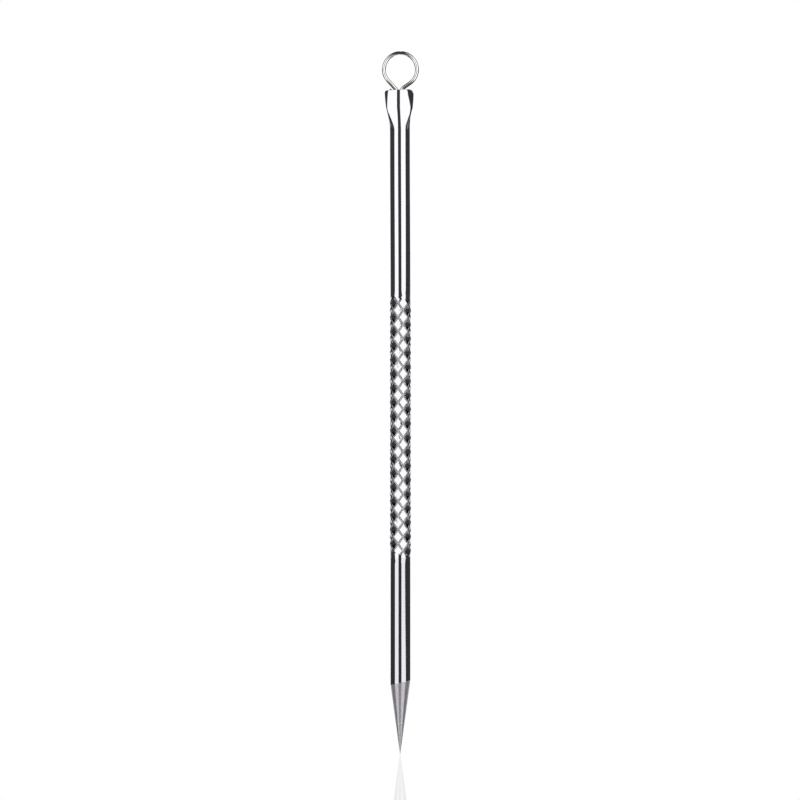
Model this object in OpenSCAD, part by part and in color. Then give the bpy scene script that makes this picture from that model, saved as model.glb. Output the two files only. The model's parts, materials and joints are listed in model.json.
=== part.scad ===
// Blackhead extractor: a round steel bar with a rolled diamond grip, a ground needle at its foot
// and a bent wire loop whose two legs are pinched in the pressed socket at its head.
// Z runs from the needle's tip, at the origin, up to the loop. The loop's broad side faces -Y.

/* [Bar] */
// Diameter of the round steel bar
bar_d = 3.5; // [3.2:0.1:4.2]
// Length of the smooth bar from the foot of the cone to the grip
lower_shank_len = 22; // [10:0.5:40]
// Length of the smooth bar from the grip to the pressed end
upper_shank_len = 29.1; // [15:0.1:60]

/* [Needle] */
// Length of the ground cone
needle_len = 12.6; // [8:0.2:20]
// Diameter of the flat that is left on the tip
tip_d = 0.08; // [0.04:0.02:0.3]
// How far the cone was ground off the bar's axis, which slants the line where it ends
grind_offset = 0.055; // [0:0.005:0.1]

/* [Knurled grip] */
// Length of the knurled grip
knurl_len = 46.3; // [20:0.1:50]
// Height of one diamond along the bar
diamond_h = 2.5; // [2.3:0.1:4]
// Grooves of each hand round the bar
knurl_starts = 6; // [5:1:7]
// Depth of a groove below the middles of the diamonds
groove_depth = 0.12; // [0.05:0.01:0.35]
// Width of a groove, across it
groove_w = 0.36; // [0.2:0.02:0.6]
// How far the middles of the diamonds stand out of the bar
crown_rise = 0.03; // [0:0.01:0.15]
// How flat the diamonds are, from 0.1 for the bar's curve to 1 for a flat facet
crown_flatness = 0.8; // [0.1:0.1:1]

/* [Pressed end] */
// Length over which the round bar turns into the pressed blade
flare_len = 4.2; // [2:0.2:8]
// Length of the blade, from there to the mouth
blade_len = 3.1; // [1:0.1:5]
// Width of the blade at the mouth
blade_w = 5.04; // [4.6:0.02:7]
// Width at the foot of the blade
blade_foot_w = 4.56; // [4.2:0.02:6.6]
// Thickness of the blade over its ridge, at the mouth
blade_t = 2.1; // [1.9:0.1:3]
// Thickness over the ridge at the foot of the blade
blade_foot_t = 1.7; // [1.4:0.1:2.1]
// Thickness of the blade's edges
edge_t = 0.36; // [0.2:0.02:0.6]
// Width at the mouth of the bevel along the left edge
left_bevel = 0.5; // [0.1:0.05:1]
// Width at the mouth of the bevel along the right edge
right_bevel = 0.85; // [0.1:0.05:1]
// How far the blade sits to the left of the bar's axis
press_shift = 0.18; // [0:0.02:0.3]
// Radius of the blade's left corner
left_corner_r = 0.35; // [0.1:0.05:1]
// Radius of the blade's right corner
right_corner_r = 0.9; // [0.1:0.05:1.2]

/* [Wire loop] */
// Diameter of the wire
wire_d = 0.7; // [0.5:0.05:0.8]
// Width of the loop inside the wire
loop_bore = 5.15; // [4:0.05:5.7]
// Height of the loop's centre over the mouth
loop_rise = 3.6; // [3.6:0.1:6]
// Gap between the two legs
leg_gap = 0.2; // [0.1:0.05:0.3]
// Radius of the bend that turns the left leg down
left_bend_r = 0.6; // [0.4:0.05:0.7]
// Depth below the mouth where the left bend ends
left_bend_depth = 0.3; // [0.2:0.05:1]
// Radius of the bend that turns the right leg down
right_bend_r = 0.5; // [0.4:0.05:0.6]
// Depth below the mouth where the right bend ends
right_bend_depth = 0.04; // [0:0.02:1]

/* [Socket] */
// Depth that the wire's legs reach into the bar
leg_depth = 9; // [5:0.5:15]
// Room between a leg and the socket, on each broad side
leg_clearance = 0.04; // [0.02:0.01:0.1]
// Room between the socket's floor and the ends of the legs
floor_clearance = 0.1; // [0.05:0.05:0.5]
// Room beside each leg, towards the ends of the slit
side_room = 0.45; // [0.3:0.05:0.6]
// Point angle of the drill that made the socket
drill_angle = 118; // [90:2:140]

/* [Hidden] */
$fn = 96;

bar_r = bar_d / 2;
lower_shank_z = needle_len;
knurl_z = lower_shank_z + lower_shank_len;
upper_shank_z = knurl_z + knurl_len;
flare_z = upper_shank_z + upper_shank_len;
blade_z = flare_z + flare_len;
mouth_z = blade_z + blade_len;

// The knurl is a net of triangles whose edges run along both sets of grooves.
cell_steps = 4;
ring_points = knurl_starts * cell_steps;
ring_count = round(knurl_len / diamond_h * cell_steps * 2);
ring_step = knurl_len / ring_count;
fade_rings = 4;
// Angle that puts a column of diamonds on each side of the front
knurl_turn = 90 / knurl_starts;
crown_r = bar_r + crown_rise;
groove_floor_r = crown_r - groove_depth;
groove_angle = atan2(PI * bar_d / knurl_starts, diamond_h);
groove_spacing = PI * bar_d / knurl_starts * cos(groove_angle);
groove_share = groove_w / 2 / groove_spacing;
// Shares of a cell by which its net lines move towards the groove
line_shift = [0, groove_share - 1 / cell_steps, 0, 1 / cell_steps - groove_share];
// Where two stretches meet, one is this much slimmer and passes into the other's flat end
seam_step = 0.01;
seam_overlap = 0.05;

// The pressed end is lofted through sections that keep the bar's curve along their ridge. From
// there a flat side runs to a bevel, which widens towards the mouth, and then to a round edge.
flare_rings = 8;
blade_rings = 4;
arc_steps = 4;
side_steps = 3;
widening_power = 2;
// Share of the flare over which its flattening starts, and over which it ends
thinning_ease = 0.2;
// Directions from the front: where a flat side ends, which way a bevel faces, where an edge starts
side_end_angle = 28;
bevel_angle = 41;
edge_angle = 42;
socket_fn = 32;

loop_z = mouth_z + loop_rise;
wire_r = wire_d / 2;
loop_r = loop_bore / 2 + wire_r;
leg_spacing = wire_d + leg_gap;
left_leg_x = press_shift + leg_spacing / 2;
right_leg_x = leg_spacing / 2 - press_shift;

slit_t = wire_d + 2 * leg_clearance;
slit_w = leg_spacing + wire_d + 2 * side_room;
socket_d = leg_spacing + wire_d + 4 * leg_clearance;
socket_z = mouth_z - leg_depth - floor_clearance;
drill_h = socket_d / 2 / tan(drill_angle / 2);
overcut = 1;

function mix(a, b, share) = a + (b - a) * share;
function wrapped(i) = (i % cell_steps + cell_steps) % cell_steps;

// Radius of a diamond at an angle from its middle, where it is flatter than the bar.
function facet_r(angle) = crown_r / pow(cos(crown_flatness * angle), 1 / crown_flatness);

// One point of the knurl, where k counts the rings and j the points round them.
function knurl_point(k, j) =
    let (
        // Places across the two sets of grooves, in net lines
        turn = j + (k % 2) / 2,
        u = wrapped(turn + k / 2),
        v = wrapped(turn - k / 2),
        fade = min(1, min(k, ring_count - k) / fade_rings),
        rise = min(1, min(k, ring_count - k)),
        du = line_shift[u] * fade,
        dv = line_shift[v] * fade,
        off_middle = 360 / knurl_starts * ((u + v) / cell_steps - 1 + du + dv) / 2,
        on_crown = u > 0 && v > 0,
        r = mix(bar_r - seam_step, on_crown ? facet_r(off_middle) : groove_floor_r, rise),
        angle = knurl_turn + 360 / knurl_starts * (turn / cell_steps + (du + dv) / 2),
        z = k * ring_step + diamond_h * (du - dv) / 2
    )
    [r * cos(angle), r * sin(angle), z];

function knurl_faces(k, j) =
    let (
        next = (j + 1) % ring_points,
        a = k * ring_points + j,
        b = k * ring_points + next,
        c = (k + 1) * ring_points + j,
        d = (k + 1) * ring_points + next
    )
    k % 2 == 0 ? [[a, c, b], [c, d, b]] : [[a, d, b], [a, c, d]];

module knurl() {
    points = [for (k = [0 : ring_count], j = [0 : ring_points - 1]) knurl_point(k, j)];
    sides = [for (k = [0 : ring_count - 1], j = [0 : ring_points - 1]) each knurl_faces(k, j)];
    foot = [for (j = [0 : ring_points - 1]) j];
    top = [for (j = [ring_points - 1 : -1 : 0]) ring_count * ring_points + j];
    polyhedron(points, concat([foot], sides, [top]));
}

// Where a flat side meets the bevel, on a section with a round edge and that bevel.
function side_end(half_w, edge_r, bevel) =
    [
        half_w - edge_r + edge_r * sin(side_end_angle) - bevel,
        edge_r * cos(side_end_angle) + bevel * tan(bevel_angle)
    ];

// Angle from the front at which the ridge turns into the flat side that ends at a point.
function ridge_angle(end, half_t) =
    let (from_centre = [end.x, end.y + bar_r - half_t])
    atan2(from_centre.x, from_centre.y) - acos(bar_r / norm(from_centre));

// Shares from 0 to 1 that rise steadily, with an easy start and end.
function eased(share, ease) =
    share < ease ? share ^ 2 / (2 * ease * (1 - ease))
    : share < 1 - ease ? (share - ease / 2) / (1 - ease)
    : 1 - (1 - share) ^ 2 / (2 * ease * (1 - ease));

function round_point(q) = [bar_r * sin(q), bar_r * cos(q)];

// One quarter of a section at height z over the root of the flare, from its ridge to its edge.
function quarter_section(z, mouth_bevel) =
    let (
        flare_share = min(1, z / flare_len),
        blade_share = max(0, z - flare_len) / blade_len,
        blade_half_w = mix(blade_foot_w, blade_w, sin(90 * blade_share)) / 2,
        blade_half_t = mix(blade_foot_t, blade_t, blade_share) / 2,
        bevel = mouth_bevel * blade_share,
        ridge = ridge_angle(side_end(blade_half_w, edge_t / 2, bevel), blade_half_t),
        // The round bar's section turns into the blade's as these three change
        half_w = mix(bar_r, blade_half_w, pow(flare_share, widening_power)),
        half_t = mix(bar_r, blade_half_t, eased(flare_share, thinning_ease)),
        edge_r = mix(bar_r, edge_t / 2, flare_share),
        start = round_point(ridge) - [0, bar_r - half_t],
        end = side_end(half_w, edge_r, bevel),
        round_start = round_point(ridge),
        round_end = round_point(side_end_angle)
    )
    [
        for (i = [0 : arc_steps]) round_point(ridge * i / arc_steps) - [0, bar_r - half_t],
        for (i = [1 : side_steps - 1])
            let (
                share = i / side_steps,
                arc = round_point(mix(ridge, side_end_angle, share)),
                bulge = arc - mix(round_start, round_end, share)
            )
            mix(start, end, share) + bulge * (1 - flare_share),
        end,
        for (i = [0 : arc_steps])
            let (q = mix(edge_angle, 90, i / arc_steps))
            [half_w - edge_r + edge_r * sin(q), edge_r * cos(q)]
    ];

// A whole section, whose foot is slimmer by the seam's step.
function section(z) =
    let (
        right = quarter_section(z, right_bevel),
        left = quarter_section(z, left_bevel),
        last = len(right) - 1,
        inset = z == 0 ? 1 - seam_step / bar_r : 1,
        shift = press_shift * pow(min(1, z / flare_len), widening_power),
        front_right = [for (i = [0 : last]) [right[i].x, -right[i].y]],
        back_right = [for (i = [last - 1 : -1 : 0]) right[i]],
        back_left = [for (i = [1 : last]) [-left[i].x, left[i].y]],
        front_left = [for (i = [last - 1 : -1 : 1]) -left[i]]
    )
    [
        for (p = concat(front_right, back_right, back_left, front_left))
            [p.x * inset - shift, p.y * inset, z]
    ];

module pressed_loft() {
    heights = concat(
        [for (i = [0 : flare_rings]) flare_len * i / flare_rings],
        [for (i = [1 : blade_rings]) flare_len + blade_len * i / blade_rings]
    );
    rings = [for (z = heights) section(z)];
    count = len(rings[0]);
    last = len(rings) - 1;
    sides = [
        for (k = [0 : last - 1], j = [0 : count - 1])
            let (
                next = (j + 1) % count,
                a = k * count + j,
                b = k * count + next,
                c = (k + 1) * count + j,
                d = (k + 1) * count + next,
                // Neighbouring quarters are split along mirrored diagonals
                mirrored = floor(4 * j / count) % 2 == 1
            )
            each mirrored ? [[a, d, b], [a, c, d]] : [[a, c, b], [c, d, b]]
    ];
    foot = [for (j = [0 : count - 1]) j];
    top = [for (j = [count - 1 : -1 : 0]) last * count + j];
    polyhedron([for (ring = rings) each ring], concat([foot], sides, [top]));
}

// What is cut off to round one corner of the mouth, on the right-hand side.
module corner_cut(half_w, r) {
    translate([half_w - r, 0, mouth_z - r])
        rotate([90, 0, 0])
            linear_extrude(bar_d, center = true)
                difference() {
                    square(r + overcut);
                    circle(r);
                }
}

// The socket was drilled round, and pressing turned its mouth into a slit.
module socket() {
    translate([-press_shift, 0, 0])
        hull() {
            translate([0, 0, blade_z])
                linear_extrude(blade_len + overcut) {
                    square([slit_w - slit_t, slit_t], center = true);
                    for (side = [-1, 1])
                        translate([side * (slit_w - slit_t) / 2, 0])
                            circle(d = slit_t, $fn = socket_fn);
                }
            translate([0, 0, socket_z])
                cylinder(d = socket_d, h = wire_d, $fn = socket_fn);
            translate([0, 0, socket_z - drill_h])
                cylinder(d1 = 0, d2 = socket_d, h = drill_h, $fn = socket_fn);
        }
}

// The lower shank and the needle: a bar inside a cone that widens all the way up.
module ground_shank() {
    cone_widening = (bar_d - tip_d) / needle_len;
    intersection() {
        cylinder(d = bar_d, h = knurl_z);
        translate([-grind_offset, 0, 0])
            cylinder(d1 = tip_d, d2 = tip_d + cone_widening * knurl_z, h = knurl_z);
    }
}

module handle_bar() {
    color("silver")
        difference() {
            union() {
                ground_shank();
                translate([0, 0, knurl_z])
                    knurl();
                translate([0, 0, upper_shank_z])
                    cylinder(d = bar_d, h = upper_shank_len);
                translate([0, 0, flare_z])
                    pressed_loft();
            }
            socket();
            translate([-press_shift, 0, 0]) {
                corner_cut(blade_w / 2, right_corner_r);
                mirror([1, 0, 0])
                    corner_cut(blade_w / 2, left_corner_r);
            }
        }
}

// Angle on the loop, from its right-hand side, at which a leg leaves it.
function leave_angle(leg_x, bend_r, bend_depth) =
    let (bend_x = leg_x + bend_r, drop = loop_rise + bend_depth)
    90 - atan2(drop, bend_x) - asin((loop_r + bend_r) / norm([bend_x, drop]));

// One leg, on the right-hand side: straight off the loop, round its bend and down.
module leg(leg_x, bend_r, bend_depth) {
    bend_x = leg_x + bend_r;
    reach = norm([bend_x, loop_rise + bend_depth]);
    straight = sqrt(reach ^ 2 - (loop_r + bend_r) ^ 2);
    leave = leave_angle(leg_x, bend_r, bend_depth);
    translate([loop_r * cos(leave), 0, loop_z + loop_r * sin(leave)])
        rotate([0, 180 - leave, 0])
            translate([0, 0, -seam_overlap])
                cylinder(r = wire_r - seam_step, h = straight + 2 * seam_overlap);
    translate([bend_x, 0, mouth_z - bend_depth])
        rotate([90, 0, 0])
            rotate_extrude(start = 180 + leave, angle = -leave)
                translate([bend_r, 0])
                    circle(wire_r);
    translate([leg_x, 0, mouth_z - leg_depth])
        cylinder(r = wire_r - seam_step, h = leg_depth - bend_depth + seam_overlap);
}

module wire_loop() {
    right_leave = leave_angle(right_leg_x, right_bend_r, right_bend_depth);
    left_leave = leave_angle(left_leg_x, left_bend_r, left_bend_depth);
    color("gainsboro") {
        translate([0, 0, loop_z])
            rotate([90, 0, 0])
                rotate_extrude(start = right_leave, angle = 180 - left_leave - right_leave)
                    translate([loop_r, 0])
                        circle(wire_r);
        leg(right_leg_x, right_bend_r, right_bend_depth);
        mirror([1, 0, 0])
            leg(left_leg_x, left_bend_r, left_bend_depth);
    }
}

handle_bar();
wire_loop();
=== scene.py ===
import json
import math

import bpy
from bpy.props import FloatProperty, FloatVectorProperty, IntProperty, PointerProperty
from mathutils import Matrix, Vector, noise


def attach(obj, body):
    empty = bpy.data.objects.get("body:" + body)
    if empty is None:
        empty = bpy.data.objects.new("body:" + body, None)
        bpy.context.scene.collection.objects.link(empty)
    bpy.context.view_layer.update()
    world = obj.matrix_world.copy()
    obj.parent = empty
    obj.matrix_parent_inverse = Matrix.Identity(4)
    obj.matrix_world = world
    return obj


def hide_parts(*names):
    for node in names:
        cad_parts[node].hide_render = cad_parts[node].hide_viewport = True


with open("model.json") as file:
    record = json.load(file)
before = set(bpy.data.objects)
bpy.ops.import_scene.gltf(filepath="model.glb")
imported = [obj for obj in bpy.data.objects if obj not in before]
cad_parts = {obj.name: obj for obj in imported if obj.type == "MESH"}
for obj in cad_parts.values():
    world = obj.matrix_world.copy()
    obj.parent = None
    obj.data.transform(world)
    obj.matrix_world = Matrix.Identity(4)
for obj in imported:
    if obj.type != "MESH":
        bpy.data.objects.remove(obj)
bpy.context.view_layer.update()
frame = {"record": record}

bl_info = {
    "name": "Blackhead extractor",
    "version": (1, 0, 0),
    "blender": (4, 5, 0),
    "location": "View3D > Sidebar > Extractor",
    "description": "Builds a knurled steel skin tool with a ground needle and a pinched wire loop",
    "category": "Add Mesh",
}

# The tool stands on its needle's tip, at the origin. Z runs up to the loop and its front faces -Y.
MM = 0.001
MOUNTS = {mount["name"]: mount for mount in frame["record"]["mounts"]}
BAR_D = 2 * MOUNTS["needle_shank"]["dims"]["r_mm"] * MM
LOOP_Z = MOUNTS["loop_eye"]["pos_m"][2]


def linear(hex_colour):
    """Linear RGB of an sRGB hex colour."""
    channels = [int(hex_colour[i : i + 2], 16) / 255 for i in (1, 3, 5)]
    return [c / 12.92 if c <= 0.04045 else ((c + 0.055) / 1.055) ** 2.4 for c in channels]


def length(name, description, default_mm, low_mm, high_mm):
    """A length property whose default and limits are given in millimetres."""
    return FloatProperty(
        name=name,
        description=description,
        default=default_mm * MM,
        min=low_mm * MM,
        max=high_mm * MM,
        precision=5,
        unit="LENGTH",
        subtype="DISTANCE",
    )


def colour(name, description, hex_colour):
    """A colour property whose default is given as sRGB hex."""
    return FloatVectorProperty(
        name=name,
        description=description,
        default=linear(hex_colour),
        min=0,
        max=1,
        size=3,
        subtype="COLOR",
    )


class BarSizes(bpy.types.PropertyGroup):
    """Sizes of the round bar and its needle."""

    bar_d: length("Bar diameter", "Diameter of the round bar", BAR_D / MM, 3.2, 4.2)
    needle_len: length("Needle", "Length of the ground cone", 12.6, 8, 20)
    tip_d: length("Tip", "Diameter of the needle's blunt tip", 0.08, 0.04, 0.3)
    grind_offset: length("Grind offset", "How far off the axis the cone was ground", 0.055, 0, 0.1)
    lower_shank_len: length("Lower shank", "Smooth bar under the grip", 22, 10, 40)
    upper_shank_len: length("Upper shank", "Smooth bar over the grip", 29.1, 15, 60)
    bow: length("Bow", "How far the upper shank bows to the left", 0.09, 0, 0.15)


class KnurlSizes(bpy.types.PropertyGroup):
    """Sizes of the rolled grip."""

    knurl_len: length("Grip", "Length of the knurled grip", 46.3, 20, 50)
    diamond_h: length("Diamond height", "Height of one diamond along the bar", 2.5, 2.3, 4)
    starts: IntProperty(
        name="Grooves", description="Grooves of each hand round the bar", default=6, min=5, max=7
    )
    groove_depth: length("Groove depth", "Depth below the diamonds' middles", 0.12, 0.05, 0.35)
    groove_w: length("Groove width", "Width of a groove across it", 0.34, 0.2, 0.6)
    floor_w: length("Groove floor", "Width of the flat floor of a groove", 0.15, 0.02, 0.2)
    crown_rise: length("Crown rise", "How far the middles of the diamonds stand out", 0.0, 0, 0.15)
    crown_flatness: FloatProperty(
        name="Crown flatness",
        description="0 for the bar's curve round it and 1 for flat diamonds",
        default=0.97,
        min=0.1,
        max=1,
        subtype="FACTOR",
    )
    crown_bend_r: length("Crown bend", "Radius of a diamond's dome along the bar", 4.8, 3, 50)
    turn: FloatProperty(
        name="Turn",
        description="How far the net of diamonds is turned round the bar",
        default=math.radians(1.5),
        min=-math.pi / 6,
        max=math.pi / 6,
        subtype="ANGLE",
    )
    end_slant: length("End slant", "How far the grip's ends lean to the right", 0.45, 0, 1)


class HeadSizes(bpy.types.PropertyGroup):
    """Sizes of the pressed end and its socket."""

    flare_len: length("Flare", "Length over which the bar turns into the blade", 4.2, 2, 8)
    blade_len: length("Blade", "Length of the blade up to its mouth", 3.1, 1, 5)
    blade_w: length("Blade width", "Width at the mouth", 5.04, 4.6, 7)
    blade_foot_w: length("Blade foot width", "Width at the foot of the blade", 4.56, 4.2, 6.6)
    blade_t: length("Blade thickness", "Thickness over the ridge at the mouth", 2.36, 1.9, 3)
    blade_foot_t: length("Blade foot thickness", "Thickness over the foot's ridge", 2.08, 1.4, 2.6)
    edge_t: length("Edge", "Thickness of the blade's edges", 0.36, 0.2, 0.6)
    left_bevel: length("Left bevel", "Width at the mouth of the left bevel", 0.62, 0.1, 1)
    left_bevel_len: length("Left bevel length", "How far the left bevel reaches down", 3.9, 2, 5)
    right_bevel: length("Right bevel", "Width at the mouth of the right bevel", 1.2, 0.1, 1.3)
    right_bevel_len: length("Right bevel length", "How far the right bevel reaches down", 4.3, 2, 5)
    press_shift: length("Press shift", "How far left of the axis the blade sits", 0.18, 0, 0.3)
    left_corner_r: length("Left corner", "Radius of the left corner", 0.35, 0.1, 1)
    right_corner_r: length("Right corner", "Radius of the right corner", 0.65, 0.1, 1.2)
    right_swell: length("Right swell", "How much wider the blade's right half is", 0.17, 0, 0.25)
    rim_r: length("Rim", "Radius of the mouth's worn rim", 0.07, 0.02, 0.15)
    mouth_rise: length("Mouth rise", "How much higher the mouth's right end stands", 0.2, 0, 0.3)


class LoopSizes(bpy.types.PropertyGroup):
    """Sizes of the wire and its loop."""

    wire_d: length("Wire diameter", "Diameter of the wire", 0.7, 0.5, 0.8)
    loop_bore: length("Loop bore", "Width inside the loop", 5.15, 4, 5.7)
    leg_gap: length("Leg gap", "Gap between the legs", 0.2, 0.1, 0.3)
    left_bend_r: length("Left bend", "Radius of the left bend", 0.6, 0.4, 0.7)
    left_bend_depth: length("Left depth", "Depth where the left bend ends", 0.3, 0.2, 1)
    right_bend_r: length("Right bend", "Radius of the right bend", 0.5, 0.4, 0.6)
    right_bend_depth: length("Right depth", "Depth where the right bend ends", 0.04, 0, 1)
    leg_depth: length("Leg depth", "Depth of the legs in the socket", 9, 5, 15)
    side_room: length("Side room", "Room beside each leg in the slit", 0.45, 0.3, 0.6)
    leg_clearance: length("Leg clearance", "Room between a leg and a broad side", 0.04, 0.02, 0.1)


class Finishes(bpy.types.PropertyGroup):
    """Colours of the metal and of the studio."""

    polished: colour("Polished steel", "Mirror-polished bar", "#DADADC")
    # A darker tint towards the bottom, for the lower shank
    foot: colour("Foot", "Lower shank, which is polished less", "#C8C7CB")
    rolled: colour("Rolled steel", "Crowns of the knurl", "#D6D6D8")
    # Painted shade: the flanks are tinted darker than the crowns of the same steel
    flank: colour("Flank", "Dull sides of the knurl's grooves", "#88888C")
    # Painted highlight: the groove floors are tinted lighter than the crowns of the same steel
    floor: colour("Groove floor", "Matt floors of the knurl's grooves", "#EEEEF0")
    ground: colour("Ground steel", "Satin of the needle", "#D3CFD5")
    wire: colour("Drawn wire", "Bright wire of the loop", "#F0EEEB")
    # Painted shade: the dark brown tint on the legs' undersides near the mouth
    leg_shade: colour("Leg shade", "Brown polishing grime under the legs", "#66513F")
    wall: colour("Wall", "What the steel mirrors high up on both sides", "#8C8C92")
    shadow: colour("Shadow", "What the steel mirrors low down on both sides", "#0A0A0B")
    room: colour("Dark room", "What the steel mirrors beside the lights", "#3E3E42")
    ceiling: colour("Ceiling", "What the steel mirrors overhead", "#3A2F2B")


# Points of a ring, of its quarter, and of one cell of the knurl's net
RING_POINTS = 96
QUARTER = RING_POINTS // 4
CELL_STEPS = 16
FRONT = math.radians(270)


def mix(a, b, share):
    """The value at a share of the way from a to b."""
    return a + (b - a) * share


def smooth(low, high, value):
    """0 below low, 1 above high and a smooth step between them."""
    share = min(1, max(0, (value - low) / (high - low)))
    return share * share * (3 - 2 * share)


class Stations:
    """Heights along the tool and the radii that follow from the sizes."""

    def __init__(self, scene):
        self.bar = scene.extractor_bar
        self.knurl = scene.extractor_knurl
        self.head = scene.extractor_head
        self.loop = scene.extractor_loop
        self.bar_r = self.bar.bar_d / 2
        self.knurl_z = self.bar.needle_len + self.bar.lower_shank_len
        self.upper_shank_z = self.knurl_z + self.knurl.knurl_len
        self.flare_z = self.upper_shank_z + self.bar.upper_shank_len
        self.mouth_z = self.flare_z + self.head.flare_len + self.head.blade_len
        self.knurl_turn = math.pi / 2 / self.knurl.starts + self.knurl.turn


def round_point(r, angle, z):
    """A point at an angle round the bar, which is 270 degrees at the front."""
    return (r * math.cos(angle), r * math.sin(angle), z)


# In shares of the blunt tip's radius: its rings' radii and heights, and where the cone starts
TIP_ROUNDING = ((0.5, 0.1), (0.85, 0.4))
CONE_START = 1.2
NEEDLE_STEPS = 40
# A power over 1 draws the needle's rings together at its tip
NEEDLE_CROWDING = 1.3


def cone_slope(at):
    """How much the needle's radius grows with its height."""
    return (at.bar_r - at.bar.tip_d / 2) / at.bar.needle_len


def grind_line(at, angle):
    """Height at which the ground cone runs out into the bar, at an angle round it."""
    x = at.bar_r * math.cos(angle) + at.bar.grind_offset
    reach = math.hypot(x, at.bar_r * math.sin(angle))
    return (reach - at.bar.tip_d / 2) / cone_slope(at)


def needle_ring(at, angles, share):
    """One ring of the cone, at a share of the way from its tip to the grind line."""
    ring = []
    for angle in angles:
        z = grind_line(at, angle) * share
        x = at.bar_r * math.cos(angle) + at.bar.grind_offset
        turn = math.atan2(at.bar_r * math.sin(angle), x)
        r = at.bar.tip_d / 2 + cone_slope(at) * z
        ring.append((r * math.cos(turn) - at.bar.grind_offset, r * math.sin(turn), z))
    return ring


# The knurl is a net of diamonds whose lines run along both sets of grooves. One lies in a
# groove's middle, these at shares of its flank's width, and the last of them is on the crown.
FLANK_LINES = (0, 0.25, 0.5, 0.75, 1, 1.4)
# The stretch over which the grooves start and end
RUN_OUT = 0.5 * MM
# The rolls' dents: depth, waves a radian round the bar and a millimetre along it, noise layer
DENTS = ((0.022 * MM, 4.5, 1.6, 0.7), (0.011 * MM, 11, 4, 3.1))


def line_place(i, floor_share, groove_share):
    """Signed share of a cell from its groove to line i, closest together at the groove."""
    half = CELL_STEPS // 2
    i = (i + half) % CELL_STEPS - half
    flank = [mix(floor_share, groove_share, share) for share in FLANK_LINES]
    near = [0, *flank]
    step = abs(i)
    if step < len(near):
        place = near[step]
    else:
        place = mix(near[-1], 0.5, (step - len(near) + 1) / (half - len(near) + 1))
    return math.copysign(place, i)


def knurl_point(at, k, j, ring_step):
    """Point j of the knurl's ring k, and its share of a groove's depth."""
    sizes = at.knurl
    pitch = 2 * math.pi * at.bar_r / sizes.starts
    spacing = pitch * sizes.diamond_h / math.hypot(pitch, sizes.diamond_h)
    half = CELL_STEPS // 2
    turn = j + (k % 2) / 2
    places, shifts, cuts = [], [], []
    for i in (round(turn + k / 2), round(turn - k / 2)):
        place = line_place(i, sizes.floor_w / 2 / spacing, sizes.groove_w / 2 / spacing)
        shifts.append(place - ((i + half) % CELL_STEPS - half) / CELL_STEPS)
        places.append(place - math.copysign(0.5, place))
        cuts.append(1 - smooth(sizes.floor_w / 2, sizes.groove_w / 2, abs(place) * spacing))
    angle = 2 * math.pi / sizes.starts * (turn / CELL_STEPS + sum(shifts) / 2) + at.knurl_turn
    z = at.knurl_z + k * ring_step + sizes.diamond_h * (shifts[0] - shifts[1]) / 2

    # The roll came in a little askew, so both ends of the grip lean to the right
    lean = sizes.end_slant * math.cos(angle)
    low_end = at.knurl_z + sizes.end_slant + RUN_OUT
    high_end = at.upper_shank_z - sizes.end_slant - RUN_OUT
    depth = smooth(-RUN_OUT, RUN_OUT, z + lean - low_end)
    depth *= smooth(-RUN_OUT, RUN_OUT, high_end - z - lean)

    # Across the bar a crown is flatter than the bar's curve, and along the bar it is domed
    off_middle = 2 * math.pi / sizes.starts * (places[0] + places[1]) / 2
    along = sizes.diamond_h * (places[0] - places[1]) / 2
    crown_r = at.bar_r + sizes.crown_rise
    flatness = sizes.crown_flatness
    facet_r = crown_r / math.cos(flatness * off_middle) ** (1 / flatness)
    dome = along**2 / (2 * sizes.crown_bend_r)
    dents = 0
    for deep, waves_round, waves_along, layer in DENTS:
        dents += deep * noise.noise(Vector((angle * waves_round, z / MM * waves_along, layer)))
    cut = max(cuts)
    r = mix(facet_r - dome + dents, crown_r - sizes.groove_depth, cut)
    return round_point(mix(at.bar_r, r, depth), angle, z), cut * depth


def knurl_rings(at):
    """The knurl's rings from the bottom up, each turned by half a step from the last."""
    count = round(at.knurl.knurl_len / at.knurl.diamond_h * CELL_STEPS * 2)
    step = at.knurl.knurl_len / count
    return [[knurl_point(at, k, j, step) for j in range(RING_POINTS)] for k in range(count + 1)]


# The pressed end is lofted through sections that keep the bar's curve along their ridge. These
# are the steps of a quarter section on the ridge, and the shares of its flat side and its bevel.
RIDGE_STEPS = 6
SIDE_SHARES = (0.25, 0.5, 0.75, 0.95, 1)
BEVEL_SHARES = (0.12, 0.5, 0.88, 1)
EDGE_STEPS = QUARTER - RIDGE_STEPS - len(SIDE_SHARES) - len(BEVEL_SHARES)

# Angles from the front: where a flat side ends, which way a bevel faces, where an edge starts
SIDE_END = math.radians(28)
BEVEL_TURN = math.radians(35.5)
EDGE_START = math.radians(42)

# How late the left and the right half of the flare widen, how softly it starts and stops
# thinning, and the share of the right half's swell that is gone at the mouth
WIDENING_POWER = {-1: 1.6, 1: 2.3}
THINNING_EASE = 0.2
SWELL_FADE = 0.6


def round_place(r, q):
    """Place on a round section, at an angle from the front."""
    return Vector((r * math.sin(q), r * math.cos(q)))


def side_end(half_w, edge_r, bevel):
    """Where a flat side meets the bevel."""
    place = Vector((half_w - edge_r - bevel, bevel * math.tan(BEVEL_TURN)))
    return place + round_place(edge_r, SIDE_END)


def ridge_angle(at, end, half_t):
    """Angle from the front at which the ridge turns into the flat side that ends at a place."""
    up = end.y + at.bar_r - half_t
    return math.atan2(end.x, up) - math.acos(at.bar_r / math.hypot(end.x, up))


def eased(share, ease):
    """Shares from 0 to 1 that rise steadily, with an easy start and end."""
    if share > 1 - ease:
        return 1 - eased(1 - share, ease)
    if share < ease:
        return share**2 / (2 * ease * (1 - ease))
    return (share - ease / 2) / (1 - ease)


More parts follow.
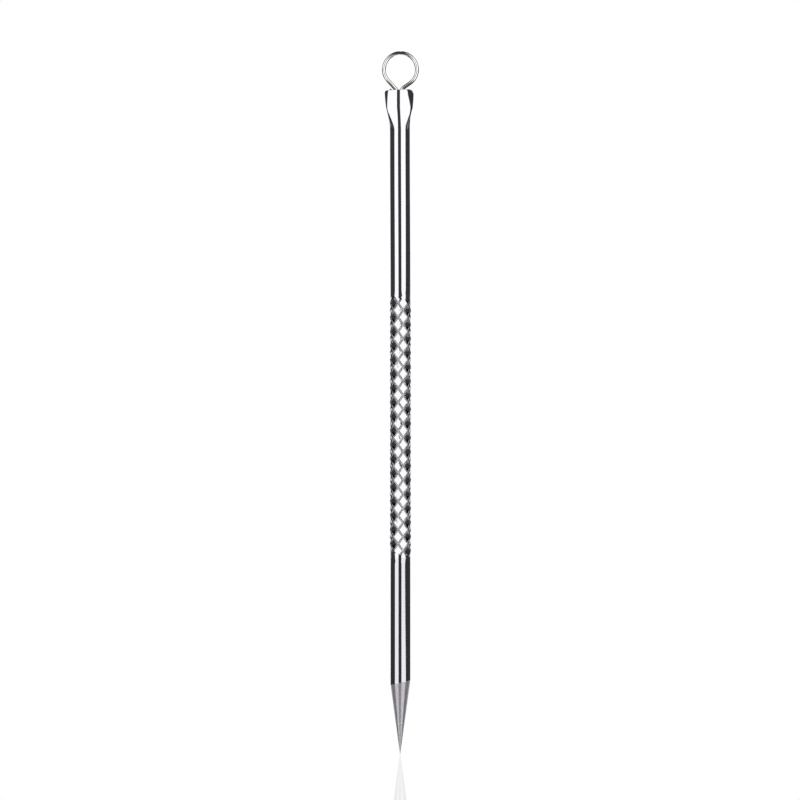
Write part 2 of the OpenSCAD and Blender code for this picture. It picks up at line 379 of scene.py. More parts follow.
def quarter_point(at, i, z, side):
    """Place and facing direction, from the front, of point i of a quarter section at height z."""
    head = at.head
    flare_share = min(1, z / head.flare_len)
    blade_share = min(1, max(0, z - head.flare_len) / head.blade_len)
    blade_half_w = mix(head.blade_foot_w, head.blade_w, math.sin(math.pi / 2 * blade_share)) / 2
    blade_half_t = mix(head.blade_foot_t, head.blade_t, blade_share) / 2
    below_mouth = head.flare_len + head.blade_len - z
    bevel, bevel_len = head.left_bevel, head.left_bevel_len
    if side > 0:
        bevel, bevel_len = head.right_bevel, head.right_bevel_len
        blade_half_w += head.right_swell * (1 - SWELL_FADE * blade_share)
    bevel *= max(0, 1 - below_mouth / bevel_len)
    ridge = ridge_angle(at, side_end(blade_half_w, head.edge_t / 2, bevel), blade_half_t)

    # The round bar's section turns into the blade's as these three change
    half_w = mix(at.bar_r, blade_half_w, flare_share ** WIDENING_POWER[side])
    thinning = eased(flare_share, THINNING_EASE)
    half_t = mix(at.bar_r, blade_half_t, thinning)
    edge_r = mix(at.bar_r, head.edge_t / 2, thinning)
    edge_centre = Vector((half_w - edge_r, 0))
    sunk = Vector((0, at.bar_r - half_t))
    side_start = round_place(at.bar_r, ridge) - sunk
    bevel_start = side_end(half_w, edge_r, bevel)
    edge_start = edge_centre + round_place(edge_r, EDGE_START)

    def between(start, end, start_turn, end_turn, share):
        """A place on a straight stretch, which bulges where the section is still nearly round."""
        q = mix(start_turn, end_turn, share)
        chord = mix(round_place(at.bar_r, start_turn), round_place(at.bar_r, end_turn), share)
        bulge = round_place(at.bar_r, q) - chord
        return mix(start, end, share) + bulge * (1 - thinning), q

    if i <= RIDGE_STEPS:
        q = ridge * i / RIDGE_STEPS
        return round_place(at.bar_r, q) - sunk, q
    i -= RIDGE_STEPS + 1
    if i < len(SIDE_SHARES):
        return between(side_start, bevel_start, ridge, SIDE_END, SIDE_SHARES[i])
    i -= len(SIDE_SHARES)
    if i < len(BEVEL_SHARES):
        return between(bevel_start, edge_start, SIDE_END, EDGE_START, BEVEL_SHARES[i])
    i -= len(BEVEL_SHARES) - 1
    q = mix(EDGE_START, math.pi / 2, i / EDGE_STEPS)
    return edge_centre + round_place(edge_r, q), q


def quarters():
    """Index in its quarter, side and face of each of a ring's points, counted from the front."""
    for quarter, (side, face) in enumerate(((1, -1), (1, 1), (-1, 1), (-1, -1))):
        for step in range(QUARTER):
            yield (QUARTER - step if quarter % 2 else step), side, face


def mouth_height(at, x):
    """Height of the mouth's top at a place across it, with its two rounded corners."""
    half_w = at.head.blade_w / 2
    r = at.head.right_corner_r if x > 0 else at.head.left_corner_r
    into = max(0, abs(x) - half_w + r)
    rise = at.head.mouth_rise / 2 * x / half_w
    return at.mouth_z + rise - r + math.sqrt(max(0, r * r - min(r, into) ** 2))


def head_ring(at, share):
    """One ring of the pressed end, at a share of the way from its root up to its rim."""
    ring = []
    head = at.head
    full = head.flare_len + head.blade_len
    for i, side, face in quarters():
        x = side * quarter_point(at, i, full, side)[0].x
        reach = mouth_height(at, x) - head.rim_r - at.flare_z
        z = share * full
        above = max(0, z - head.flare_len)
        z = min(z, head.flare_len) + above * (reach - head.flare_len) / head.blade_len
        place, q = quarter_point(at, i, z, side)
        shift = head.press_shift * min(1, z / head.flare_len) ** WIDENING_POWER[-1]
        point = (side * place.x - shift, face * place.y, at.flare_z + z)
        ring.append((point, (side * math.sin(q), face * math.cos(q))))
    return ring


# The bar's finishes, in the order of its materials
POLISHED, KNURLED, GROUND = range(3)


class Skin:
    """Points and faces of one mesh, with a finish and a flag for the material on each."""

    def __init__(self):
        self.points = []
        self.faces = []
        self.finish = []
        self.cut = []
        self.normals = {}

    def ring(self, points, cuts=None, normals=None):
        """Adds points and returns their numbers."""
        start = len(self.points)
        self.points += points
        self.cut += cuts or [0] * len(points)
        if normals:
            self.normals.update({start + i: n for i, n in enumerate(normals)})
        return list(range(start, len(self.points)))

    def face(self, corners, finish):
        self.faces.append(corners)
        self.finish.append(finish)

    def strip(self, low, high, finish):
        """Quads between two rings of equal length."""
        for i in range(len(low)):
            j = (i + 1) % len(low)
            self.face([low[i], low[j], high[j], high[i]], finish)

    def climb(self, last, points, finish=POLISHED, normals=None):
        """Adds a ring and the strip up to it from the last one, and returns the new ring."""
        ring = self.ring(points, normals=normals)
        self.strip(last, ring, finish)
        return ring

    def fan(self, centre, ring, finish, up=True):
        """Triangles between a ring and a point in its middle."""
        for i in range(len(ring)):
            j = (i + 1) % len(ring)
            corners = [centre, ring[i], ring[j]]
            self.face(corners if up else corners[::-1], finish)

    def build(self, name, materials):
        """Makes the mesh object, smooth all over, with its own normals where they were given."""
        mesh = bpy.data.meshes.new(name)
        mesh.from_pydata(self.points, [], self.faces)
        for material in materials:
            mesh.materials.append(material)
        mesh.polygons.foreach_set("material_index", self.finish)
        mesh.polygons.foreach_set("use_smooth", [True] * len(self.faces))
        cut = mesh.attributes.new("cut", "FLOAT", "POINT")
        cut.data.foreach_set("value", self.cut)
        mesh.update()
        if self.normals:
            normals = [Vector(n.vector) for n in mesh.corner_normals]
            for polygon in mesh.polygons:
                for corner in polygon.loop_indices:
                    vertex = mesh.loops[corner].vertex_index
                    given = self.normals.get((vertex, polygon.material_index))
                    given = given or self.normals.get(vertex)
                    if given:
                        normals[corner] = Vector(given).normalized()
            mesh.normals_split_custom_set(normals)
        if mesh.validate():
            raise RuntimeError(f"{name} has faces that Blender had to mend")
        piece = bpy.data.objects.new(name, mesh)
        bpy.context.scene.collection.objects.link(piece)
        return piece


def add_needle(skin, at, angles):
    """The rounded tip and the cone. Returns the ring on the grind line."""
    tip_r = at.bar.tip_d / 2
    centre = skin.ring([(-at.bar.grind_offset, 0, 0)])[0]
    last = None
    for r_share, rise in TIP_ROUNDING:
        turned = [round_point(tip_r * r_share, a, tip_r * rise) for a in angles]
        ring = skin.ring([(x - at.bar.grind_offset, y, z) for x, y, z in turned])
        if last:
            skin.strip(last, ring, GROUND)
        else:
            skin.fan(centre, ring, GROUND, up=False)
        last = ring
    first = tip_r * CONE_START / at.bar.needle_len
    for k in range(NEEDLE_STEPS + 1):
        share = mix(first, 1, (k / NEEDLE_STEPS) ** NEEDLE_CROWDING)
        last = skin.climb(last, needle_ring(at, angles, share), GROUND)
    for angle, vertex in zip(angles, last):
        skin.normals[(vertex, POLISHED)] = round_point(1, angle, 0)
        skin.normals[(vertex, GROUND)] = round_point(1, angle, -cone_slope(at))
    return last


def add_round(skin, last, r, angles, z):
    """One ring of the smooth bar, whose normals point straight out."""
    points = [round_point(r, a, z) for a in angles]
    return skin.climb(last, points, POLISHED, [round_point(1, a, 0) for a in angles])


def add_shank(skin, last, r, heights, start_angles, end_angles, steps):
    """Smooth rings between two heights, whose points move from one spacing to another."""
    for k in range(1, steps):
        share = k / steps
        angles = [mix(a, b, smooth(0, 1, share)) for a, b in zip(start_angles, end_angles)]
        last = add_round(skin, last, r, angles, mix(*heights, share))
    return last


def add_knurl(skin, at, last):
    """The grip, in diamond faces with a row of triangles at each end. Returns its top ring."""
    rings = []
    for ring in knurl_rings(at):
        rings.append(skin.ring([p for p, _ in ring], [d for _, d in ring]))
    skin.strip(last, rings[0], POLISHED)
    top = len(rings) - 1
    for j in range(RING_POINTS):
        ahead = (j + 1) % RING_POINTS
        skin.face([rings[0][j], rings[0][ahead], rings[1][j]], KNURLED)
        below = rings[top - 1][ahead if top % 2 else j]
        skin.face([rings[top][j], below, rings[top][ahead]], KNURLED)
    for k in range(top - 1):
        for j in range(RING_POINTS):
            left = rings[k + 1][(j - 1 + k % 2) % RING_POINTS]
            right = rings[k + 1][(j + k % 2) % RING_POINTS]
            skin.face([rings[k][j], right, rings[k + 2][j], left], KNURLED)
    return rings[top]


def slit_ring(at, z, grow=0):
    """The socket's stadium outline, with its points in the order of a ring of the head."""
    wire = at.loop
    half_t = wire.wire_d / 2 + wire.leg_clearance + grow
    flat = (2 * wire.wire_d + wire.leg_gap + 2 * wire.side_room) / 2 - half_t + grow
    steps = QUARTER - EDGE_STEPS
    ring = []
    for i, side, face in quarters():
        if i <= steps:
            x, y = flat * i / steps, half_t
        else:
            turn = math.pi / 2 * (i - steps) / EDGE_STEPS
            x, y = flat + half_t * math.sin(turn), half_t * math.cos(turn)
        ring.append((side * x - at.head.press_shift, face * y, z))
    return ring


# Two small lips that pressing raised at the slit's ends, a little behind the middle: place
# across the mouth, reach and height
BURRS = ((-1.66 * MM, 0.2 * MM, 0.42 * MM), (0.86 * MM, 0.16 * MM, 0.22 * MM))
BURR_Y = 0.15 * MM
# How much wider than the slit its worn edge is, and how deep
LIP_GROW = 0.03 * MM
LIP_DEPTH = 0.04 * MM
# Room under the wire's legs, and half the angle of the drill's point
SOCKET_ROOM = 0.1 * MM
DRILL_ANGLE = math.radians(59)

HEAD_STEPS, RIM_STEPS, TOP_STEPS = 44, 4, 5
LOWER_SHANK_STEPS, UPPER_SHANK_STEPS = 20, 30
# How far the lower shank's first level ring lies over the grind line
GRIND_ROOM = 0.4 * MM


def burr(x, y):
    """Height of the two small lips at a place on the mouth."""
    height = 0
    for centre, reach, top in BURRS:
        far = math.hypot(x - centre, y - BURR_Y)
        height += top * math.exp(-((far / reach) ** 2))
    return height


def add_head(skin, at, last):
    """The flare, the blade and its worn rim, up to the slit in the mouth's top."""
    for k in range(HEAD_STEPS + 1):
        side = head_ring(at, k / HEAD_STEPS)
        last = skin.climb(last, [point for point, _ in side])
    for k in range(1, RIM_STEPS + 1):
        turn = math.pi / 2 * k / RIM_STEPS
        inset = at.head.rim_r * (1 - math.cos(turn))
        rise = at.head.rim_r * math.sin(turn)
        points = [(p[0] - n[0] * inset, p[1] - n[1] * inset, p[2] + rise) for p, n in side]
        last = skin.climb(last, points)
    outer = [skin.points[i] for i in last]
    inner = slit_ring(at, at.mouth_z, LIP_GROW)
    for k in range(1, TOP_STEPS + 1):
        share = k / TOP_STEPS
        points = []
        for a, b in zip(outer, inner):
            x, y = mix(a[0], b[0], share), mix(a[1], b[1], share)
            lip = burr(x, y) * smooth(1 / TOP_STEPS, 1, share)
            points.append((x, y, mouth_height(at, x + at.head.press_shift) + lip))
        last = skin.climb(last, points)
    return last


def add_socket(skin, at, last):
    """The slit in the blade, the drilled bore into which it turns below, and the drill's point."""
    blade_len = at.head.blade_len
    depth = at.loop.leg_depth + SOCKET_ROOM
    levels = [(LIP_DEPTH, 0), (blade_len / 2, 0), (blade_len, 0)]
    levels += [(mix(blade_len, depth, share), share) for share in (0.25, 0.5, 0.75, 1)]
    bore_r = (2 * at.loop.wire_d + at.loop.leg_gap + 4 * at.loop.leg_clearance) / 2
    bore = []
    for i, side, face in quarters():
        place = round_place(bore_r, math.pi / 2 * i / QUARTER)
        bore.append((side * place.x - at.head.press_shift, face * place.y))
    for down, share in levels:
        z = at.mouth_z - down
        slit = slit_ring(at, z)
        points = [(mix(p[0], b[0], share), mix(p[1], b[1], share), z) for p, b in zip(slit, bore)]
        last = skin.climb(last, points)
    drill_z = at.mouth_z - depth - bore_r / math.tan(DRILL_ANGLE)
    centre = skin.ring([(-at.head.press_shift, 0, drill_z)])[0]
    skin.fan(centre, last, POLISHED)


def head_angles(at):
    """Angles round the bar at which the head's sections start from it."""
    angles = []
    for i, side, face in quarters():
        q = quarter_point(at, i, 0, side)[1]
        turn = {(1, -1): q, (1, 1): math.pi - q, (-1, 1): math.pi + q, (-1, -1): 2 * math.pi - q}
        angles.append(FRONT + turn[(side, face)])
    return angles


def make_handle_bar(at, materials):
    """The whole bar as one closed skin, from the needle's tip up and into the socket."""
    skin = Skin()
    spacing = 2 * math.pi / RING_POINTS
    even = [at.knurl_turn + spacing * j for j in range(RING_POINTS)]
    last = add_needle(skin, at, even)
    clear_z = max(skin.points[i][2] for i in last) + GRIND_ROOM
    last = add_round(skin, last, at.bar_r, even, clear_z)
    heights = (clear_z, at.knurl_z)
    last = add_shank(skin, last, at.bar_r, heights, even, even, LOWER_SHANK_STEPS)
    last = add_knurl(skin, at, last)

    # From here on a ring starts with the point at the front, where the head's sections start
    first = round((FRONT - at.knurl_turn) / spacing)
    laps = [divmod(first + n, RING_POINTS) for n in range(RING_POINTS)]
    from_front = [even[j] + 2 * math.pi * lap for lap, j in laps]
    last = [last[j] for _, j in laps]
    heights = (at.upper_shank_z, at.flare_z)
    last = add_shank(skin, last, at.bar_r, heights, from_front, head_angles(at), UPPER_SHANK_STEPS)
    add_socket(skin, at, add_head(skin, at, last))
    bow = at.bar.bow
    skin.points = [
        (x - bow * smooth(at.upper_shank_z, at.flare_z, z), y, z) for x, y, z in skin.points
    ]
    return skin.build("knurled_bar", materials)


# The wire is swept along its centre line, which lies in the plane Y = 0.
WIRE_SIDES, LOOP_STEPS, BEND_STEPS = 32, 72, 12


def on_bend(x, z, r, turn):
    """A place on the wire's line, on a bend round the centre x, z."""
    return (x + r * math.cos(turn), z + r * math.sin(turn))


def leg_points(at, leg_x, bend_r, bend_depth):
    """Centre line of one leg on the right, from where it leaves the loop down to its end."""
    loop_r = at.loop.loop_bore / 2 + at.loop.wire_d / 2
    bend_x = leg_x + bend_r
    drop = LOOP_Z - at.mouth_z + bend_depth
    reach = math.hypot(bend_x, drop)
    leave = math.pi / 2 - math.atan2(drop, bend_x) - math.asin((loop_r + bend_r) / reach)
    points = [on_bend(0, LOOP_Z, loop_r, leave)]
    bend_z = at.mouth_z - bend_depth
    straight = math.sqrt(reach**2 - (loop_r + bend_r) ** 2)
    down = (math.sin(leave), -math.cos(leave))
    for share in (0.25, 0.5, 0.75):
        points.append(tuple(c + d * straight * share for c, d in zip(points[0], down)))
    for k in range(BEND_STEPS + 1):
        points.append(on_bend(bend_x, bend_z, bend_r, math.pi + leave * (1 - k / BEND_STEPS)))
    end_z = at.mouth_z - at.loop.leg_depth
    points += [(leg_x, mix(bend_z, end_z, share)) for share in (0.25, 0.5, 0.75, 1)]
    return leave, points


def wire_line(at):
    """The wire's centre line, from its right end up, round the loop and down to its left end."""
    wire = at.loop
    leg_x = (wire.wire_d + wire.leg_gap) / 2
    left_x, right_x = leg_x + at.head.press_shift, leg_x - at.head.press_shift
    left_leave, left = leg_points(at, left_x, wire.left_bend_r, wire.left_bend_depth)
    right_leave, right = leg_points(at, right_x, wire.right_bend_r, wire.right_bend_depth)
    loop_r = wire.loop_bore / 2 + wire.wire_d / 2
    turns = [mix(right_leave, math.pi - left_leave, k / LOOP_STEPS) for k in range(1, LOOP_STEPS)]
    arc = [on_bend(0, LOOP_Z, loop_r, turn) for turn in turns]
    return right[::-1] + arc + [(-x, z) for x, z in left]


def make_wire_loop(at, materials):
    """A solid round wire along its line, with flat cut ends."""
    line = wire_line(at)
    r = at.loop.wire_d / 2
    skin = Skin()
    last = None
    for k, (x, z) in enumerate(line):
        back, ahead = line[max(0, k - 1)], line[min(len(line) - 1, k + 1)]
        along = Vector((ahead[0] - back[0], 0, ahead[1] - back[1])).normalized()
        across = Vector((along.z, 0, -along.x))
        points = []
        for j in range(WIRE_SIDES):
            turn = 2 * math.pi * j / WIRE_SIDES
            sideways = across * r * math.cos(turn)
            points.append(tuple(Vector((x, 0, z)) + sideways + Vector((0, r * math.sin(turn), 0))))
        ring = skin.ring(points)
        if last:
            skin.strip(ring, last, POLISHED)
        else:
            centre = skin.ring([(x, 0, z)])[0]
            skin.fan(centre, ring, POLISHED)
        last = ring
    centre = skin.ring([(line[-1][0], 0, line[-1][1])])[0]
    skin.fan(centre, last, POLISHED, up=False)
    return skin.build("bent_wire", materials)


# Materials


def add_node(tree, kind, inputs=None, **settings):
    """Adds a node with its settings. Its inputs get values, or sockets or nodes to link from."""
    node = tree.nodes.new(kind)
    for name, value in settings.items():
        setattr(node, name, value)
    for socket, value in (inputs or {}).items():
        if isinstance(value, bpy.types.Node):
            value = next(output for output in value.outputs if output.enabled)
        if isinstance(value, bpy.types.NodeSocket):
            tree.links.new(value, node.inputs[socket])
        else:
            node.inputs[socket].default_value = value
    return node


def new_material(name):
    """An empty material and its tree."""
    material = bpy.data.materials.new(name)
    material.use_nodes = True
    material.node_tree.nodes.clear()
    return material, material.node_tree


def rgba(colour_value, share=1):
    """A colour property as a node's colour, made darker or lighter by a share."""
    return [c * share for c in colour_value] + [1]


def polished_stainless_bar(finishes):
    """Cold-drawn stainless bar, barrel-polished: a mirror with faint lengthwise drawing streaks."""
    material, tree = new_material("polished_stainless_bar")
    place = add_node(tree, "ShaderNodeTexCoord").outputs["Object"]
    # Drawing streaks are about 0.2 mm wide and 20 mm long
    streak_scale = (1 / (0.2 * MM), 1 / (0.2 * MM), 1 / (20 * MM))
    streak_place = add_node(tree, "ShaderNodeMapping", {"Vector": place, "Scale": streak_scale})
    streaks = add_node(
        tree, "ShaderNodeTexNoise", {"Vector": streak_place, "Scale": 1.0, "Detail": 3.0}
    )
    tint = add_node(
        tree,
        "ShaderNodeMix",
        {"Factor": streaks, "A": rgba(finishes.polished, 0.95), "B": rgba(finishes.polished)},
        data_type="RGBA",
    )
    # The lower shank, up to 35 mm, is tinted darker than the upper one, which starts at 81 mm
    height = add_node(tree, "ShaderNodeSeparateXYZ", {0: place}).outputs["Z"]
    upwards = add_node(
        tree, "ShaderNodeMapRange", {"Value": height, "From Min": 30 * MM, "From Max": 90 * MM}
    )
    tint = add_node(
        tree,
        "ShaderNodeMix",
        {"Factor": upwards, "A": rgba(finishes.foot), "B": tint},
        data_type="RGBA",
    )
    rough = add_node(
        tree,
        "ShaderNodeMapRange",
        {"Value": streaks, "From Min": 0.3, "From Max": 0.7, "To Min": 0.035, "To Max": 0.075},
    )
    surface = add_node(
        tree, "ShaderNodeBsdfPrincipled", {"Base Color": tint, "Metallic": 1.0, "Roughness": rough}
    )
    add_node(tree, "ShaderNodeOutputMaterial", {"Surface": surface})
    return material


def rolled_knurl(finishes):
    """Diamond knurl rolled into the bar: bright crowns, dull flanks darkened by painted shade and
    matt floors lightened by a painted highlight.
    """
    material, tree = new_material("rolled_knurl")
    place = add_node(tree, "ShaderNodeTexCoord").outputs["Object"]
    cut = add_node(tree, "ShaderNodeAttribute", attribute_name="cut").outputs["Fac"]
    # The rolls left dents about 0.3 mm wide in the crowns
    dents = add_node(
        tree, "ShaderNodeTexNoise", {"Vector": place, "Scale": 1 / (0.3 * MM), "Detail": 2.0}
    )
    # From the crowns' edges, where the cut starts, the flanks run down to the floors
    flank = add_node(
        tree, "ShaderNodeMapRange", {"Value": cut, "From Max": 0.4}, interpolation_type="SMOOTHSTEP"
    )
    to_floor = add_node(
        tree, "ShaderNodeMapRange", {"Value": cut, "From Min": 0.6}, interpolation_type="SMOOTHSTEP"
    )
    # Painted shade on the flanks and a painted highlight on the floors, as tints of the one steel
    side_tint = add_node(
        tree,
        "ShaderNodeMix",
        {"Factor": flank, "A": rgba(finishes.rolled), "B": rgba(finishes.flank)},
        data_type="RGBA",
    )
    tint = add_node(
        tree,
        "ShaderNodeMix",
        {"Factor": to_floor, "A": side_tint, "B": rgba(finishes.floor)},
        data_type="RGBA",
    )
    rough = add_node(
        tree, "ShaderNodeMapRange", {"Value": cut, "From Min": 0.3, "To Min": 0.06, "To Max": 0.8}
    )
    bump = add_node(
        tree, "ShaderNodeBump", {"Height": dents, "Strength": 0.3, "Distance": 0.02 * MM}
    )
    surface = add_node(
        tree,
        "ShaderNodeBsdfPrincipled",
        {"Base Color": tint, "Metallic": 1.0, "Roughness": rough, "Normal": bump},
    )
    add_node(tree, "ShaderNodeOutputMaterial", {"Surface": surface})
    return material


def satin_ground_needle(finishes):
    """Needle ground on a wheel while it turned: satin whose fine rings spread light up and down."""
    material, tree = new_material("satin_ground_needle")
    place = add_node(tree, "ShaderNodeTexCoord").outputs["Object"]
    # The grit's marks are about 0.04 mm wide. Their flecks are drawn 0.12 mm wide and 0.9 mm
    # long, because finer ones wouldn't show
    speck_scale = (1 / (0.12 * MM), 1 / (0.12 * MM), 1 / (0.9 * MM))
    speck_place = add_node(tree, "ShaderNodeMapping", {"Vector": place, "Scale": speck_scale})
    specks = add_node(
        tree, "ShaderNodeTexNoise", {"Vector": speck_place, "Scale": 1.0, "Detail": 4.0}
    )
    tint = add_node(
        tree,
        "ShaderNodeMix",
        {"Factor": specks, "A": rgba(finishes.ground, 0.72), "B": rgba(finishes.ground, 1.2)},
        data_type="RGBA",
    )
    round_it = add_node(tree, "ShaderNodeTangent", direction_type="RADIAL", axis="Z")
    surface = add_node(
        tree,
        "ShaderNodeBsdfPrincipled",
        {
            "Base Color": tint,
            "Metallic": 0.72,
            "Roughness": 0.42,
            "Anisotropic": 0.95,
            "Anisotropic Rotation": 0.25,
            "Tangent": round_it,
        },
    )
    add_node(tree, "ShaderNodeOutputMaterial", {"Surface": surface})
    return material


def bright_drawn_wire(finishes, mouth_z):
    """Stainless wire, bright drawn through a die: a near mirror that is duller in faint patches,
    with painted shade under the legs near the mouth.
    """
    material, tree = new_material("bright_drawn_wire")
    coordinates = add_node(tree, "ShaderNodeTexCoord").outputs
    place = coordinates["Object"]
    # Painted shade: the legs' undersides, in the last 2 mm above the mouth, are tinted dark brown
    # where they mirror the dark mouth
    height = add_node(tree, "ShaderNodeSeparateXYZ", {0: place}).outputs["Z"]
    near_mouth = add_node(
        tree,
        "ShaderNodeMapRange",
        {"Value": height, "From Min": mouth_z + 1.9 * MM, "From Max": mouth_z + 1.1 * MM},
    )
    upwards = add_node(tree, "ShaderNodeSeparateXYZ", {0: coordinates["Normal"]}).outputs["Z"]
    underneath = add_node(
        tree, "ShaderNodeMapRange", {"Value": upwards, "From Min": -0.05, "From Max": -0.25}
    )
    # Where the painted shade falls: near the mouth and facing down
    leg_shade = add_node(tree, "ShaderNodeMath", {0: near_mouth, 1: underneath}, operation="MULTIPLY")
    tint = add_node(
        tree,
        "ShaderNodeMix",
        {"Factor": leg_shade, "A": rgba(finishes.wire), "B": rgba(finishes.leg_shade)},
        data_type="RGBA",
    )
    # Bending and handling left patches of about 0.5 mm
    marks = add_node(
        tree, "ShaderNodeTexNoise", {"Vector": place, "Scale": 1 / (0.5 * MM), "Detail": 2.0}
    )
    rough = add_node(
        tree,
        "ShaderNodeMapRange",
        {"Value": marks, "From Min": 0.3, "From Max": 0.7, "To Min": 0.05, "To Max": 0.12},
    )
    surface = add_node(
        tree, "ShaderNodeBsdfPrincipled", {"Base Color": tint, "Metallic": 1.0, "Roughness": rough}
    )
    add_node(tree, "ShaderNodeOutputMaterial", {"Surface": surface})
    return material


# The studio


def window(tree, *limits):
    """A mask that is 1 where each value lies between its two edges, which are soft by a width."""
    mask = 1.0
    for value, low, high, soft in limits:
        for edge, start in ((low, 0.0), (high, 1.0)):
            ramp = {"From Min": edge - soft, "From Max": edge + soft}
            step = add_node(
                tree,
                "ShaderNodeMapRange",
                {"Value": value, **ramp, "To Min": start, "To Max": 1 - start},
                interpolation_type="SMOOTHSTEP",
            )
            mask = add_node(tree, "ShaderNodeMath", {0: step, 1: mask}, operation="MULTIPLY")
    return mask


def degrees(tree, operation, inputs):
    """An angle in degrees, from an operation that gives it in radians."""
    angle = add_node(tree, "ShaderNodeMath", inputs, operation=operation)
    return add_node(tree, "ShaderNodeMath", {0: angle}, operation="DEGREES")


# An edge in degrees that no direction reaches, for a window that is open on that side
OPEN = 400
# Radiance of the softboxes, the cards at the back, the white table and the white backdrop
SOFTBOX, CARD, TABLE, WHITE = ([radiance] * 3 + [1] for radiance in (1.45, 0.7, 0.9, 1.0))


def make_world(finishes):
    """White to the camera, while the steel mirrors a dark room, tall softboxes and the table."""
    world = bpy.data.worlds.new("studio")
    bpy.context.scene.world = world
    world.use_nodes = True
    tree = world.node_tree
    tree.nodes.clear()

    # Directions in degrees: azimuth from the front to the right, elevation from the horizon, and
    # sideways and backwards from straight down
    direction = add_node(tree, "ShaderNodeTexCoord").outputs["Generated"]
    x, y, z = add_node(tree, "ShaderNodeSeparateXYZ", {0: direction}).outputs
    ahead = add_node(tree, "ShaderNodeMath", {0: y, 1: -1.0}, operation="MULTIPLY")
    down = add_node(tree, "ShaderNodeMath", {0: z, 1: -1.0}, operation="MULTIPLY")
    azimuth = degrees(tree, "ARCTAN2", {0: x, 1: ahead})
    elevation = degrees(tree, "ARCSINE", {0: z})
    turned = add_node(tree, "ShaderNodeMath", {0: azimuth}, operation="ABSOLUTE")
    sideways = degrees(tree, "ARCTAN2", {0: x, 1: down})
    backwards = degrees(tree, "ARCTAN2", {0: y, 1: down})

    # The right softbox is narrowest a little below the horizon, where its outer edge comes in
    edge = add_node(
        tree,
        "ShaderNodeMapRange",
        {"Value": elevation, "From Min": -3.5, "From Max": -2.2, "To Min": 66.0, "To Max": 51.5},
    )
    wider = add_node(
        tree,
        "ShaderNodeMapRange",
        {"Value": elevation, "From Min": -2.2, "From Max": 2.4, "To Max": 15.5},
    )
    edge = add_node(tree, "ShaderNodeMath", {0: edge, 1: wider}, operation="ADD")
    past_edge = add_node(tree, "ShaderNodeMath", {0: azimuth, 1: edge}, operation="SUBTRACT")
    # The left one reaches 7 degrees further in well below the horizon
    further = window(tree, (elevation, -OPEN, -4.4, 0.5))
    from_left = add_node(
        tree, "ShaderNodeMath", {0: further, 1: -7.0, 2: azimuth}, operation="MULTIPLY_ADD"
    )
    upright = (elevation, -29, 42, 3)

    # Each colour and the window it shows in, where a later one covers an earlier one
    lights = (
        (rgba(finishes.ceiling), (elevation, 40, OPEN, 6)),
        (rgba(finishes.wall), (turned, 90, 130, 3), (elevation, 7, 24, 2)),
        (rgba(finishes.shadow), (turned, 66, 138, 5), (elevation, -48, -5, 1.2)),
        (CARD, (turned, 134, OPEN, 6), (elevation, 6, 40, 1.5)),
        (CARD, (turned, 134, OPEN, 6), (elevation, -40, -6, 1.5)),
        (CARD, (turned, 128, OPEN, 6), (elevation, -1.8, 1.1, 0.3)),
        (SOFTBOX, (from_left, -78, -23.3, 1.2), (azimuth, -67, OPEN, 1.2), upright),
        (SOFTBOX, (azimuth, 12.5, OPEN, 1.2), (past_edge, -OPEN, 0, 1.2), upright),
        (TABLE, (sideways, -30, 30, 4), (backwards, -19, 76, 4)),
        (WHITE, (turned, 172, OPEN, 1.5)),
    )
    lit = rgba(finishes.room)
    for light, *limits in lights:
        mask = window(tree, *limits)
        lit = add_node(
            tree, "ShaderNodeMix", {"Factor": mask, "A": lit, "B": light}, data_type="RGBA"
        )
    to_camera = add_node(tree, "ShaderNodeLightPath").outputs["Is Camera Ray"]
    seen = add_node(
        tree, "ShaderNodeMix", {"Factor": to_camera, "A": lit, "B": WHITE}, data_type="RGBA"
    )
    background = add_node(tree, "ShaderNodeBackground", {"Color": seen})
    add_node(tree, "ShaderNodeOutputWorld", {"Surface": background})


# The share of the floor's light that is mirrored, and half the floor's width in metres
FLOOR_GLOSS = 0.2
FLOOR_HALF = 4.0


def glossy_white_sheet():
    """White acrylic sheet lit to pure white, which mirrors faintly."""
    material, tree = new_material("glossy_white_sheet")
    white = add_node(tree, "ShaderNodeEmission", {"Color": WHITE, "Strength": 1.0})
    gloss = add_node(tree, "ShaderNodeBsdfGlossy", {"Color": WHITE, "Roughness": 0.02})
    # Only a strip in front of the tip mirrors, so the rest is evenly white from every side
    place = add_node(tree, "ShaderNodeTexCoord").outputs["Object"]
    across, deep, _ = add_node(tree, "ShaderNodeSeparateXYZ", {0: place}).outputs
    strip = window(tree, (across, -5 * MM, 5 * MM, 2 * MM), (deep, -130 * MM, 5 * MM, 5 * MM))
    share = add_node(tree, "ShaderNodeMath", {0: strip, 1: FLOOR_GLOSS}, operation="MULTIPLY")
    both = add_node(tree, "ShaderNodeMixShader", {0: share, 1: white, 2: gloss})
    add_node(tree, "ShaderNodeOutputMaterial", {"Surface": both})
    return material


def make_floor():
    """The sheet on which the tool stands. The steel mirrors the world's table in its place."""
    mesh = bpy.data.meshes.new("floor")
    corners = [(FLOOR_HALF * x, FLOOR_HALF * y, 0) for x, y in ((-1, -1), (1, -1), (1, 1), (-1, 1))]
    mesh.from_pydata(corners, [], [(0, 1, 2, 3)])
    mesh.materials.append(glossy_white_sheet())
    floor = bpy.data.objects.new("floor", mesh)
    bpy.context.scene.collection.objects.link(floor)
    floor.visible_glossy = False


# The photograph's width, the bar's axis, the tip's height and the bar's width, in its pixels
PHOTO_W = 800
AXIS_X = 400.45
TIP_Y = 753.5
BAR_W = 19.8


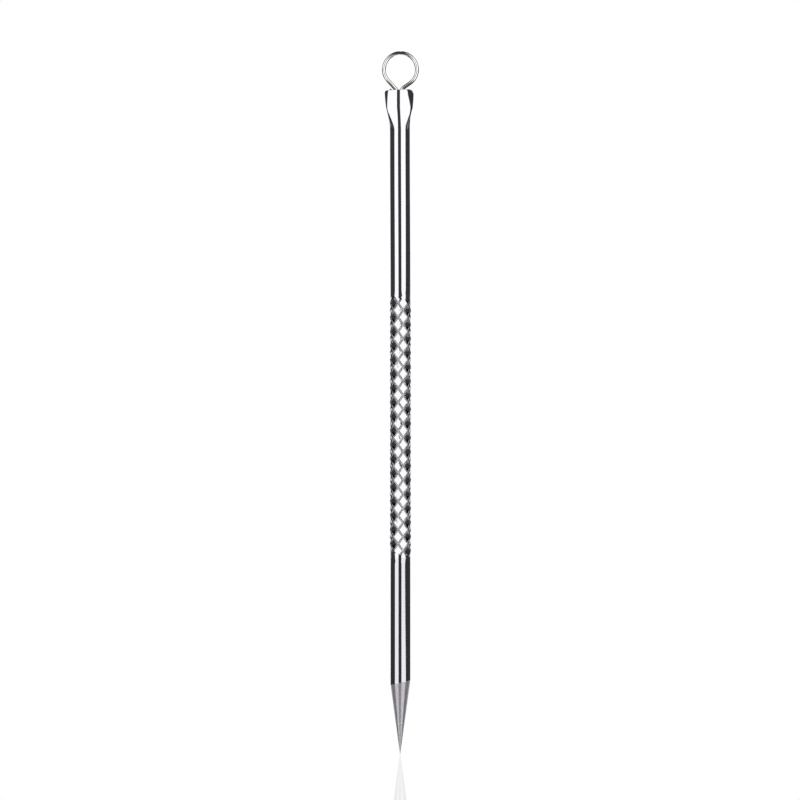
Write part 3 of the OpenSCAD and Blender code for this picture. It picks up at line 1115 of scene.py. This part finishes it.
def make_camera():
    """A level camera with a long lens, framed as the photograph is."""
    pixel = BAR_D / BAR_W
    optics = bpy.data.cameras.new("camera")
    optics.sensor_width = 36.0
    optics.lens = 200.0
    distance = PHOTO_W * pixel * optics.lens / optics.sensor_width
    optics.clip_start = distance * 0.05
    optics.clip_end = distance * 20
    camera = bpy.data.objects.new("camera", optics)
    bpy.context.scene.collection.objects.link(camera)
    middle_z = (TIP_Y - PHOTO_W / 2) * pixel
    camera.location = ((PHOTO_W / 2 - AXIS_X) * pixel, -distance, middle_z)
    camera.rotation_euler = (math.radians(90), 0, 0)
    bpy.context.scene.camera = camera


class EXTRACTOR_OT_bar(bpy.types.Operator):
    """Build the knurled bar with its needle and pressed end"""

    bl_idname = "extractor.bar"
    bl_label = "Handle bar"

    def execute(self, context):
        makers = (polished_stainless_bar, rolled_knurl, satin_ground_needle)
        materials = [make(context.scene.extractor_finishes) for make in makers]
        piece = make_handle_bar(Stations(context.scene), materials)
        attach(piece, "root")
        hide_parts("handle_bar")
        return {"FINISHED"}


class EXTRACTOR_OT_loop(bpy.types.Operator):
    """Bend the wire into its loop and set its legs in the socket"""

    bl_idname = "extractor.loop"
    bl_label = "Wire loop"

    def execute(self, context):
        at = Stations(context.scene)
        steel = bright_drawn_wire(context.scene.extractor_finishes, at.mouth_z)
        piece = make_wire_loop(at, [steel])
        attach(piece, "root")
        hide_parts("wire_loop")
        return {"FINISHED"}


class EXTRACTOR_OT_stage(bpy.types.Operator):
    """Set up the white floor, the softboxes and the camera"""

    bl_idname = "extractor.stage"
    bl_label = "Stage"

    def execute(self, context):
        context.scene.view_settings.view_transform = "Standard"
        make_world(context.scene.extractor_finishes)
        make_floor()
        make_camera()
        return {"FINISHED"}


GROUPS = {
    "extractor_bar": BarSizes,
    "extractor_knurl": KnurlSizes,
    "extractor_head": HeadSizes,
    "extractor_loop": LoopSizes,
    "extractor_finishes": Finishes,
}
OPERATORS = (EXTRACTOR_OT_bar, EXTRACTOR_OT_loop, EXTRACTOR_OT_stage)


class EXTRACTOR_PT_sidebar(bpy.types.Panel):
    """Sizes, colours and steps of the blackhead extractor"""

    bl_label = "Blackhead extractor"
    bl_space_type = "VIEW_3D"
    bl_region_type = "UI"
    bl_category = "Extractor"

    def draw(self, context):
        for name, group in GROUPS.items():
            box = self.layout.box()
            for prop in group.__annotations__:
                box.prop(getattr(context.scene, name), prop)
        for operator in OPERATORS:
            self.layout.operator(operator.bl_idname)


CLASSES = (*GROUPS.values(), *OPERATORS, EXTRACTOR_PT_sidebar)


def register():
    for cls in CLASSES:
        bpy.utils.register_class(cls)
    for name, group in GROUPS.items():
        setattr(bpy.types.Scene, name, PointerProperty(type=group))


def unregister():
    for name in GROUPS:
        delattr(bpy.types.Scene, name)
    for cls in reversed(CLASSES):
        bpy.utils.unregister_class(cls)


def main():
    register()
    bpy.ops.extractor.bar()
    bpy.ops.extractor.loop()
    bpy.ops.extractor.stage()


if __name__ == "__main__":
    main()
